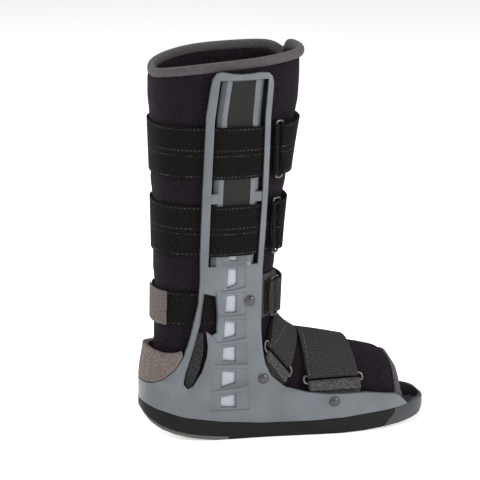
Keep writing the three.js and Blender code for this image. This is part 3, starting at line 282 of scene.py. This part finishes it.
shell_plastic = moulded("slate_moulding", colour=(0.098, 0.109, 0.122), roughness=0.36)
window_plate = moulded("window_plate", colour=(0.3, 0.31, 0.345), roughness=0.3)
midsole_rubber = moulded(
    "midsole_rubber", colour=(0.0042, 0.004, 0.0039), roughness=0.6,
    grain=1.2 * MM, depth=0.1 * MM, specular=0.2)
tread_rubber = moulded(
    "heel_tread_rubber", colour=(0.085, 0.077, 0.07), roughness=0.7, grain=1.5 * MM, depth=0.15 * MM)
bumper_rubber = moulded(
    "toe_bumper_rubber", colour=(0.022, 0.025, 0.029), roughness=0.5, grain=1.0 * MM, depth=0.06 * MM)
print("moulded finishes", shell_plastic.name, midsole_rubber.name)

# %% [markdown]
# The strip let into each beam has fine upright ribs. They could be cut as real grooves, but a wave
# across the strip bumps the ribs with no more faces, and the same wave paints shade into the
# grooves and a painted highlight onto the ribs.

# %% Ribbed strip
RIB_PERIOD = 1.6 * MM
rib_rubber = surface("ribbed_strip", colour=(0.012, 0.012, 0.012), roughness=0.6, specular=0.3)
rib_vector, rib_parts = place_in(rib_rubber)
ribs = ridges(rib_rubber, rib_parts["X"], RIB_PERIOD)
# Painted shade in the grooves and painted highlight on the ribs, both taken from the rib wave.
tinted(rib_rubber, ribs, ((0.2, (0.002, 0.002, 0.002)), (0.9, (0.013, 0.0127, 0.012))))
bump(rib_rubber, ribs, depth=0.4 * MM)
bump(rib_rubber, noise_of(rib_rubber, rib_vector, size=0.8 * MM), depth=0.05 * MM)
print("ribs every", RIB_PERIOD, "m")

# %% [markdown]
# The rings are bent wire with a satin gloss, black at the ankle, and the rivets are pressed steel
# domes. Clean metal would mirror the lamps as hard dots, so a very fine bump breaks the highlights
# up, and on the bare steel the gloss varies over a few millimetres too.


# %% Metals
def metal(name, colour, roughness, metallic, gloss_patch, glosses, grain, depth):
    made = surface(name, colour, roughness, metallic=metallic)
    vector, _ = place_in(made)
    roughened(made, noise_of(made, vector, gloss_patch), *glosses)
    bump(made, noise_of(made, vector, grain), depth)
    return made


wire_steel = metal(
    "satin_wire", colour=(0.13, 0.128, 0.125), roughness=0.36, metallic=0.9,
    gloss_patch=4 * MM, glosses=(0.26, 0.42), grain=0.4 * MM, depth=0.02 * MM)
rivet_steel = metal(
    "rivet_steel", colour=(0.075, 0.072, 0.075), roughness=0.36, metallic=0.7,
    gloss_patch=2 * MM, glosses=(0.3, 0.44), grain=0.5 * MM, depth=0.03 * MM)
wire_black = surface("black_wire", colour=(0.012, 0.012, 0.012), roughness=0.32, coat=0.3)
black_vector, _ = place_in(wire_black)
bump(wire_black, noise_of(wire_black, black_vector, size=1.5 * MM), depth=0.03 * MM)
print("metals", wire_steel.name, rivet_steel.name, wire_black.name)

# %% [markdown]
# The liner is a brushed loop cloth: short fibres in every direction, with a purple cast where they
# catch the light. Hair would show single fibres, but at this distance a rough noise with a little
# sheen looks the same. The cuff, the pads and the bindings share it in other colours. Close stops
# in the ramp turn soft noise into flecks, which is what makes a cloth look heathered.

# %% Brushed and knitted cloths
FIBRE = 1.8 * MM
PADDING_SWELL = 12 * MM


def napped(name, colour, glow, sheen, depth=0.5 * MM, contrast=(0.45, 1.75)):
    made = surface(name, colour, roughness=0.95, sheen=sheen, specular=0.1)
    shader_of(made).inputs["Sheen Tint"].default_value = (*glow, 1)
    vector, _ = place_in(made)
    fibres = noise_of(made, vector, FIBRE, detail=6, roughness=0.75)
    dark, light = shades(colour, *contrast)
    tinted(made, fibres, ((0.4, dark), (0.62, light)))
    bump(made, noise_of(made, vector, PADDING_SWELL, detail=3), depth=1.2 * MM, strength=0.5)
    bump(made, fibres, depth, strength=0.8)
    return made


liner_cloth = napped("liner_cloth", colour=(0.0085, 0.0062, 0.0088), glow=(0.34, 0.24, 0.38), sheen=0.04)
cuff_cloth = napped(
    "cuff_cloth", colour=(0.128, 0.106, 0.098), glow=(0.9, 0.85, 0.8), sheen=0.06,
    depth=0.3 * MM, contrast=(0.62, 1.45))
ankle_cloth = napped(
    "ankle_pad_cloth", colour=(0.021, 0.021, 0.022), glow=(0.8, 0.8, 0.85), sheen=0.06, depth=0.2 * MM)
pad_knit = napped(
    "heathered_knit", colour=(0.05, 0.048, 0.047), glow=(0.9, 0.9, 0.9), sheen=0.06, contrast=(0.4, 1.9))
binding_tape = napped(
    "binding_tape", colour=(0.07, 0.064, 0.069), glow=(0.9, 0.85, 0.9), sheen=0.05,
    depth=0.2 * MM, contrast=(0.75, 1.3))
print("cloths", liner_cloth.name, cuff_cloth.name, pad_knit.name)

# %% [markdown]
# The straps are flat webbing. Its weave and stitches must follow the strap, so they read the map
# that is laid along it. The stitches are dashes in rows at fixed places across, and slow noise
# wears them away here and there. Thread made of real faces would be hundreds of tiny pieces. On
# the foot webbing the dashed rows near the edges are not stitches. They are painted highlights along the
# edges.

# %% Webbing
STITCH = 4.6 * MM
STITCH_HALF_WIDTH = 0.7 * MM
DASH_SHARE = 0.6
WEAR_PATCH = 11 * MM
WEAR_CONTRAST = 3.2
WEAR_LOSS = -1.1
RIB_OVER_TO_ALONG = 0.75
WEAVE_SHARE = 0.25
FLECK_SHARE = 0.8
FLECK = 1.7 * MM


def webbing(name, colour, rows, stitch_and_highlight_colour, brightest=1.9, rib=2.1 * MM):
    """Woven tape with worn dashed rows at the given places across it, in metres from its middle.
    The rows are stitches, except on the foot webbing, where they are painted highlights along the edges.
    """
    made = surface(name, colour, roughness=0.9, sheen=0.01, specular=0.06)
    vector, parts = place_in(made, of_cloth=True)
    along, over = parts["X"], parts["Y"]
    ribs_along = ridges(made, along, rib)
    ribs_over = ridges(made, over, rib * RIB_OVER_TO_ALONG)
    weave = calculate(made, "MULTIPLY", ribs_along, ribs_over)
    flecks = noise_of(made, vector, FLECK, detail=5, roughness=0.7)
    fine = calculate(made, "MULTIPLY", weave, WEAVE_SHARE)
    mixed = calculate(made, "ADD", fine, calculate(made, "MULTIPLY", flecks, FLECK_SHARE))
    stroke = calculate(made, "PINGPONG", along, STITCH / 2)
    dash = calculate(made, "LESS_THAN", stroke, STITCH / 2 * DASH_SHARE)
    patches = noise_of(made, vector, WEAR_PATCH, detail=2)
    wear = calculate(made, "MULTIPLY_ADD", patches, WEAR_CONTRAST, WEAR_LOSS, clamp=True)
    stitches_and_highlights = None
    for row in rows:
        away = calculate(made, "ABSOLUTE", calculate(made, "SUBTRACT", over, row))
        near = calculate(made, "LESS_THAN", away, STITCH_HALF_WIDTH)
        mark = calculate(made, "MULTIPLY", calculate(made, "MULTIPLY", near, dash), wear)
        stitches_and_highlights = mark if stitches_and_highlights is None else calculate(made, "MAXIMUM", stitches_and_highlights, mark)
    dark, light = shades(colour, low=0.5, high=brightest)
    blend = made.node_tree.nodes.new("ShaderNodeMix")
    blend.data_type = "RGBA"
    link(made, stitches_and_highlights, blend.inputs["Factor"])
    link(made, ramp(made, mixed, ((0.38, dark), (0.62, light))), blend.inputs["A"])
    # Thread colour, and on the foot webbing the colour of the painted highlights along the edges.
    blend.inputs["B"].default_value = (*stitch_and_highlight_colour, 1)
    link(made, blend.outputs["Result"], shader_of(made).inputs["Base Color"])
    bump(made, noise_of(made, vector, size=14 * MM, detail=2), depth=0.8 * MM, strength=0.4)
    bump(made, mixed, depth=0.22 * MM)
    bump(made, stitches_and_highlights, depth=0.5 * MM)
    return made


BLACK = (0.003, 0.0028, 0.0027)
CHARCOAL = (0.031, 0.0297, 0.0293)
# A paler grey for the painted highlights along the edges of the foot webbing.
PALE_THREAD = (0.045, 0.042, 0.04)
EDGE_HIGHLIGHT_GREY = (0.075, 0.072, 0.07)
CALF_ROWS = (-25.5 * MM, -3 * MM, 3 * MM, 25.5 * MM)
ANKLE_ROWS = (-16.5 * MM, 16.5 * MM)
# The foot webbing's rows lie about a millimetre inside its edges. They are painted edge highlights,
# drawn as dashes.
FOOT_EDGE_HIGHLIGHT_ROWS = (-16.3 * MM, 16.3 * MM)
FOREFOOT_EDGE_HIGHLIGHT_ROWS = (-27.3 * MM, 27.3 * MM)
calf_webbing = webbing("calf_webbing", BLACK, CALF_ROWS, PALE_THREAD, brightest=4.5)
heel_webbing = webbing("heel_webbing", BLACK, ANKLE_ROWS, PALE_THREAD, brightest=4.5)
foot_webbing = webbing("foot_webbing", CHARCOAL, FOOT_EDGE_HIGHLIGHT_ROWS, EDGE_HIGHLIGHT_GREY, brightest=1.7)
wide_webbing = webbing("forefoot_webbing", CHARCOAL, FOREFOOT_EDGE_HIGHLIGHT_ROWS, EDGE_HIGHLIGHT_GREY, brightest=1.7)
hook_tape = webbing(
    "hook_tape", colour=(0.104, 0.09, 0.085), rows=ANKLE_ROWS, stitch_and_highlight_colour=(0.16, 0.145, 0.135), rib=1.2 * MM)
print("webbings", calf_webbing.name, foot_webbing.name, hook_tape.name)

# %% [markdown]
# Most pieces could be modelled again from nothing, but their places and sizes are right already in
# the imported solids. So each starts as a copy of its solid. That copy is loose triangles, so its
# doubles are merged first, and then it is rounded in the way that suits it.

# %% Helpers for every piece
MERGE_DISTANCE = 0.01 * MM


def choose(piece):
    bpy.ops.object.select_all(action="DESELECT")
    piece.select_set(True)
    bpy.context.view_layer.objects.active = piece


def edit_all(piece, operator, **settings):
    """Runs one operator of edit mode on the whole piece."""
    choose(piece)
    bpy.ops.object.mode_set(mode="EDIT")
    bpy.ops.mesh.select_all(action="SELECT")
    operator(**settings)
    bpy.ops.object.mode_set(mode="OBJECT")


def copy_of(node, material):
    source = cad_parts[node]
    piece = bpy.data.objects.new("dressed_" + node, source.data.copy())
    bpy.context.collection.objects.link(piece)
    piece.data.materials.clear()
    piece.data.materials.append(material)
    choose(piece)
    if piece.data.has_custom_normals:
        bpy.ops.mesh.customdata_custom_splitnormals_clear()
    edit_all(piece, bpy.ops.mesh.remove_doubles, threshold=MERGE_DISTANCE)
    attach(piece, "root")
    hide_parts(node)
    return piece


def modify(piece, kind, **settings):
    choose(piece)
    modifier = piece.modifiers.new(kind.lower(), kind)
    for key, value in settings.items():
        setattr(modifier, key, value)
    bpy.ops.object.modifier_apply(modifier=modifier.name)


def smooth(piece, degrees):
    choose(piece)
    bpy.ops.object.shade_smooth_by_angle(angle=math.radians(degrees))


# %% [markdown]
# The shell is one injection moulding. Its copy is cleaned of flat seams between triangles, and its
# edges get the small round that a mould leaves. A bevel is better than a remesh here, because the
# window frames and rails keep their crisp lines.


# %% Shell
def bevelled(piece, width, degrees):
    modify(piece, "BEVEL", width=width, segments=2, limit_method="ANGLE",
           angle_limit=math.radians(degrees), use_clamp_overlap=True)


shell = copy_of("shell", shell_plastic)
edit_all(shell, bpy.ops.mesh.dissolve_limited, angle_limit=math.radians(1.5))
bevelled(shell, width=1.0 * MM, degrees=38)
smooth(shell, degrees=32)
print("shell faces", len(shell.data.polygons))

# %% [markdown]
# The sole is three moulded rubber pieces: the midsole, the tread under the heel and the bumper at
# the toe. They get the same bevel as the shell, because a subdivision would pull their thin ends in.

# %% Sole
for node, slot, material in (
    ("midsole", "midsole", midsole_rubber),
    ("heel_tread", "heel_tread", tread_rubber),
    ("toe_bumper", "toe_bumper", bumper_rubber),
):
    rubber = copy_of(node, material)
    bevelled(rubber, width=1.0 * MM, degrees=40)
    smooth(rubber, degrees=35)
print("sole dressed")

# %% [markdown]
# The strips lie flat in the shell and need nothing but their finish. A rivet's dome is a few rings
# of faces in the solid. A subdivision makes it round, and a partial crease keeps the rim of the head.


# %% Strips and rivets
def creased(piece, degrees, amount=1.0):
    """Creases every edge that is sharper than the given angle."""
    shape = bmesh.new()
    shape.from_mesh(piece.data)
    layer = shape.edges.layers.float.get("crease_edge") or shape.edges.layers.float.new("crease_edge")
    for edge in shape.edges:
        if len(edge.link_faces) == 2 and edge.calc_face_angle(0) > math.radians(degrees):
            edge[layer] = amount
    shape.to_mesh(piece.data)
    shape.free()


def subdivided(piece, levels):
    modify(piece, "SUBSURF", levels=levels, render_levels=levels)


for side in ("right", "left"):
    plate = copy_of("window_strip_" + side, window_plate)
    smooth(plate, degrees=30)
    strip = copy_of("beam_strip_" + side, rib_rubber)
    smooth(strip, degrees=30)
    for number in (1, 2, 3):
        rivet = copy_of("rivet_%s_%d" % (side, number), rivet_steel)
        creased(rivet, degrees=60, amount=0.6)
        subdivided(rivet, levels=3)
        smooth(rivet, degrees=60)
print("strips and rivets dressed")

# %% [markdown]
# The liner is a padded sleeve of foam between two cloths. A cloth simulation could puff it, but it
# has to stay where the shell and the straps hold it. So its copy is remeshed to even faces and
# relaxed until the facets are gone, and then soft swells and shallow wrinkles are added by moving
# points along their normals. Under a strap the foam is pressed in, and between two it swells.


# %% Liner
def pushed_out(piece, distance_at):
    """Moves each point along its normal by the distance worked out from its place."""
    normals = [vertex.normal.copy() for vertex in piece.data.vertices]
    for vertex, normal in zip(piece.data.vertices, normals):
        vertex.co += normal * distance_at(vertex.co)


def puffed(piece, voxel, passes, grow=0.0):
    """Remeshed and relaxed, then grown by a distance to make up for what the relaxing takes off."""
    modify(piece, "REMESH", mode="VOXEL", voxel_size=voxel)
    modify(piece, "SMOOTH", factor=0.5, iterations=passes)
    pushed_out(piece, lambda place: grow)
    smooth(piece, degrees=180)


# Each swell has its height on the leg, its reach up and down, and its depth, negative under straps.
SWELLS = (
    (236 * MM, 15 * MM, -0.6 * MM),
    (320 * MM, 20 * MM, -0.6 * MM),
    (279 * MM, 12 * MM, 1.2 * MM),
    (385 * MM, 20 * MM, 1.2 * MM),
    (190 * MM, 14 * MM, 1.0 * MM),
)
TUCK = 0.4 * MM


def folds(place, round_leg, up_leg, depth):
    """Shallow folds, given as how many there are to a metre round the leg and up it."""
    return noise.noise(Vector((place.x * round_leg, place.y * round_leg, place.z * up_leg))) * depth


def padding(place):
    wrinkle = folds(place, round_leg=22, up_leg=60, depth=0.7 * MM)
    ripple = folds(place, round_leg=90, up_leg=140, depth=0.22 * MM)
    swell = sum(depth * math.exp(-((place.z - height) / reach) ** 2) for height, reach, depth in SWELLS)
    return wrinkle + ripple + swell - TUCK


liner = copy_of("liner", liner_cloth)
puffed(liner, voxel=2.6 * MM, passes=14)
pushed_out(liner, padding)
print("liner faces", len(liner.data.polygons))

# %% [markdown]
# The leg's edge is bound with a folded tape, which is a closed roll. Triangles make a subdivision
# lumpy, so they are joined to quads first. Its lower edges are lengthened a little before that, and
# more at the flap's step, because the rim below is padded and would look out under it.

# %% Leg binding
FLAP_REACH = 12 * MM
FLAP_STEP = 15 * MM
SAME_EDGE = 1.2 * MM
ROLL_RISE = 2 * MM
LENGTHENED = 3 * MM
LENGTHENED_AT_FLAP = 7 * MM


def squared(piece):
    """Joins pairs of triangles to quads, so that a subdivision runs evenly along the piece."""
    edit_all(piece, bpy.ops.mesh.tris_convert_to_quads,
             face_threshold=math.radians(60), shape_threshold=math.radians(120))


leg_binding = copy_of("leg_binding", binding_tape)
corners = [vertex.co.copy() for vertex in leg_binding.data.vertices]
for vertex, here in zip(leg_binding.data.vertices, corners):
    above = [at for at in corners if (at.xy - here.xy).length < SAME_EDGE and at.z > here.z + ROLL_RISE]
    if above:
        beside = [at.z for at in corners if (at.xy - here.xy).length < FLAP_REACH]
        at_flap = max(beside) - min(beside) > FLAP_STEP
        vertex.co.z -= LENGTHENED_AT_FLAP if at_flap else LENGTHENED
squared(leg_binding)
subdivided(leg_binding, levels=2)
smooth(leg_binding, degrees=60)
print("leg binding faces", len(leg_binding.data.polygons))

# %% [markdown]
# The toe binding is a broad soft band, and the heel cuff is a padded cup, so both are remeshed like
# the liner, only finer. The ankle pads are firm slabs behind the shell's rear windows. A small
# bevel is enough for them.

# %% Toe binding, cuff and ankle pads
toe_binding = copy_of("toe_binding", binding_tape)
puffed(toe_binding, voxel=1.2 * MM, passes=4, grow=0.6 * MM)
heel_cuff = copy_of("heel_cuff", cuff_cloth)
puffed(heel_cuff, voxel=1.2 * MM, passes=6)
for side in ("right", "left"):
    ankle_pad = copy_of("ankle_pad_" + side, ankle_cloth)
    bevelled(ankle_pad, width=0.6 * MM, degrees=40)
    smooth(ankle_pad, degrees=40)
print("bindings and cuff dressed")

# %% [markdown]
# Straps are flat webbing. Creases hold the four long edges while a subdivision rounds the run round
# the leg, and a small bevel takes the hardness off the edges. Unwrapping would cut the map at
# seams, so it is worked out from the turn round an axis, and it is laid last, on the final faces.


# %% Straps of the leg
def lay_map(piece, origin, across, out):
    """Lays the cloth map: along the band round the line through origin, and over its width."""
    across = Vector(across).normalized()
    out = Vector(out)
    out = (out - across * out.dot(across)).normalized()
    side = across.cross(out)
    origin = Vector(origin)
    layer = piece.data.uv_layers.new(name="cloth")
    reach = [vertex.co - origin for vertex in piece.data.vertices]
    radius = sum((at - across * at.dot(across)).length for at in reach) / len(reach)
    for face in piece.data.polygons:
        first = None
        for corner in face.loop_indices:
            at = reach[piece.data.loops[corner].vertex_index]
            turn = math.atan2(at.dot(side), at.dot(out))
            first = turn if first is None else first
            turn += 2 * math.pi * round((first - turn) / (2 * math.pi))
            layer.data[corner].uv = (turn * radius, at.dot(across))


def strap(node, material, origin, across, out):
    band = copy_of(node, material)
    squared(band)
    creased(band, degrees=50)
    subdivided(band, levels=2)
    bevelled(band, width=0.5 * MM, degrees=50)
    lay_map(band, origin, across, out)
    smooth(band, degrees=50)


LEG_AXIS = -72 * MM
for node, slot, material in (
    ("calf_strap_upper", "calf_strap", calf_webbing),
    ("calf_strap_lower", "calf_strap", calf_webbing),
    ("heel_strap", "calf_strap", heel_webbing),
    ("heel_tab", "heel_tab", hook_tape),
    ("ankle_strap", "foot_strap", foot_webbing),
    ("ankle_loop", "foot_strap", foot_webbing),
):
    low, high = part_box(node)
    middle = (LEG_AXIS, 0, (low[2] + high[2]) / 2)
    strap(node, material, origin=middle, across=(0, 0, 1), out=(1, 0, 0))
print("straps of the leg dressed")

# %% [markdown]
# The foot straps run over the foot instead of round the leg, so their maps turn round other lines.
# The instep strap leans, and its line leans with it.

# %% Straps and pads of the foot
INSTEP = Vector((-26.4, 0, 76.5)) * MM
INSTEP_LEAN = math.radians(54)
INSTEP_ACROSS = (math.cos(INSTEP_LEAN), 0, -math.sin(INSTEP_LEAN))
FOREFOOT = Vector((47, 0, 38)) * MM
strap("instep_strap", foot_webbing, origin=INSTEP, across=INSTEP_ACROSS, out=(0, 0, 1))
strap("forefoot_strap", wide_webbing, origin=FOREFOOT, across=(1, 0, 0), out=(0, 0, 1))
for node in ("ankle_pad_front", "instep_pad", "forefoot_pad"):
    pad = copy_of(node, pad_knit)
    squared(pad)
    creased(pad, degrees=50, amount=0.7)
    subdivided(pad, levels=2)
    smooth(pad, degrees=50)
print("straps and pads of the foot dressed")

# %% [markdown]
# The rings are bent wire. A curve with a round section would do as well, but the solid has the
# bends already, and a subdivision makes its six-sided section round.

# %% Rings
for node, slot, material in (
    ("calf_ring_upper", "ring", wire_steel),
    ("calf_ring_lower", "ring", wire_steel),
    ("ankle_ring", "ankle_ring", wire_black),
    ("instep_ring", "ring", wire_steel),
    ("forefoot_ring", "ring", wire_steel),
):
    ring = copy_of(node, material)
    squared(ring)
    subdivided(ring, levels=2)
    smooth(ring, degrees=180)
print("rings dressed")
